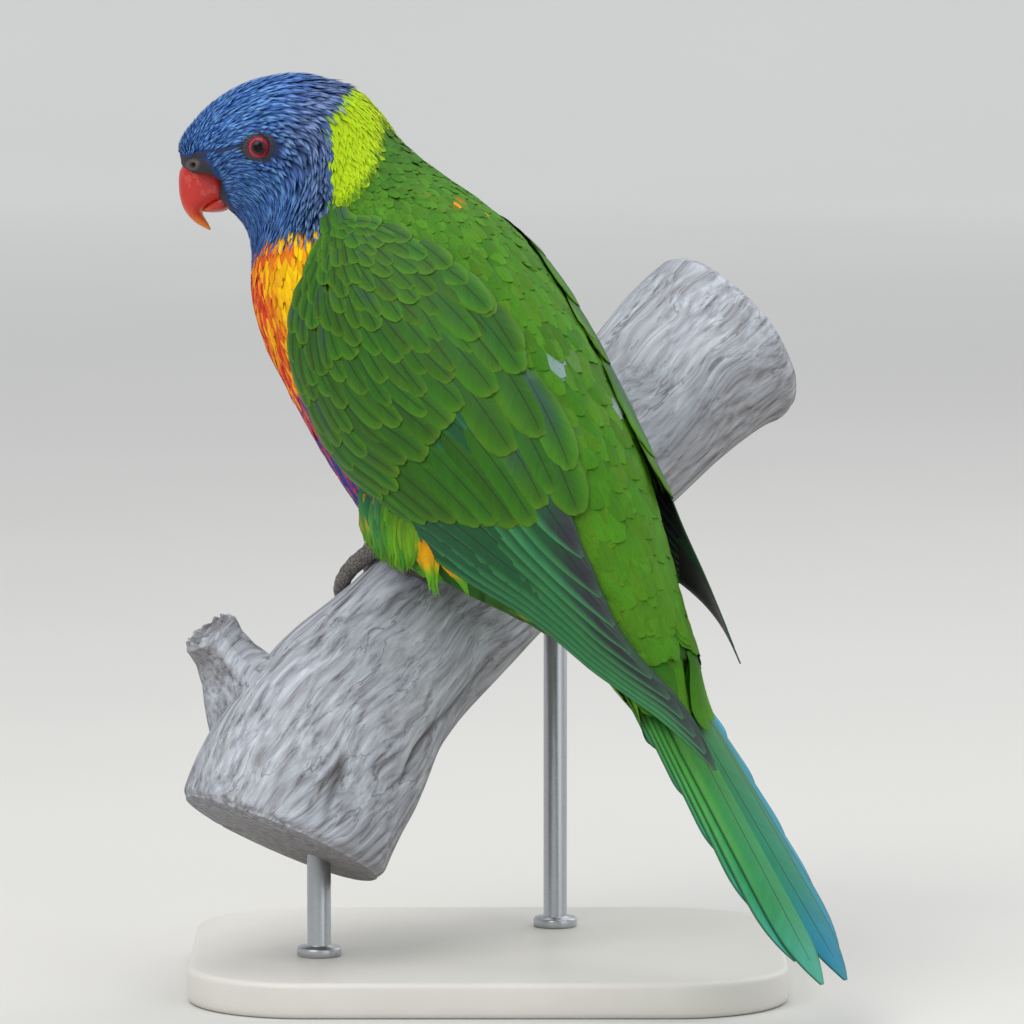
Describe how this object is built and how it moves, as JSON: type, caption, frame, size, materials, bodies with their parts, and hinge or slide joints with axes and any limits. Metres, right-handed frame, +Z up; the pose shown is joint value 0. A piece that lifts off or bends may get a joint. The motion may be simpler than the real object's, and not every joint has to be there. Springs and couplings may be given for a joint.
{
  "type": "rainbow lorikeet",
  "caption": "Life-size still model of a rainbow lorikeet perched on a cut length of weathered branch over a flat display base",
  "frame": {"origin": "centre of the whole model's bounding box in plan, on the plane that the underside of the stand base rests on", "axes": "+X to the right and +Z up as the picture shows the bird, +Y away from the viewer; the bill points to -X"},
  "size_m": [0.1658, 0.1812, 0.2287],
  "materials": {
    "blue_feathers": "short narrow feathers, deep blue with paler shafts",
    "lime_feathers": "soft feathers, yellow-green",
    "green_feathers": "overlapping rounded feathers, satin green",
    "wing_feathers": "overlapping rounded coverts and long flight feathers, satin green to grey-violet tips",
    "tail_feathers": "long pointed feathers, green to turquoise",
    "scaly_skin": "grey scaly skin",
    "claw_horn": "dark grey horn",
    "bill_horn": "smooth horn, red to orange at the tip",
    "eye_glass": "wet gloss, red iris, black pupil",
    "weathered_wood": "bare silver-grey wood with wavy grain and cracks",
    "base_paint": "satin off-white paint",
    "rod_steel": "brushed steel"
  },
  "bodies": {
    "root": {"head": "blue_feathers", "neck": "lime_feathers", "trunk": "green_feathers", "rump": "green_feathers", "tail": "tail_feathers", "wing_left": "wing_feathers", "wing_right": "wing_feathers", "thigh_left": "green_feathers", "thigh_right": "green_feathers", "foot_left": "scaly_skin", "foot_right": "scaly_skin", "claw_left_1": "claw_horn", "claw_left_2": "claw_horn", "claw_left_3": "claw_horn", "claw_left_4": "claw_horn", "claw_right_1": "claw_horn", "claw_right_2": "claw_horn", "claw_right_3": "claw_horn", "claw_right_4": "claw_horn", "bill_upper": "bill_horn", "bill_lower": "bill_horn", "eye_left": "eye_glass", "eye_right": "eye_glass", "perch": "weathered_wood", "stand_base": "base_paint", "stand_rod_lower": "rod_steel", "stand_rod_upper": "rod_steel"}
  },
  "joints": []
}
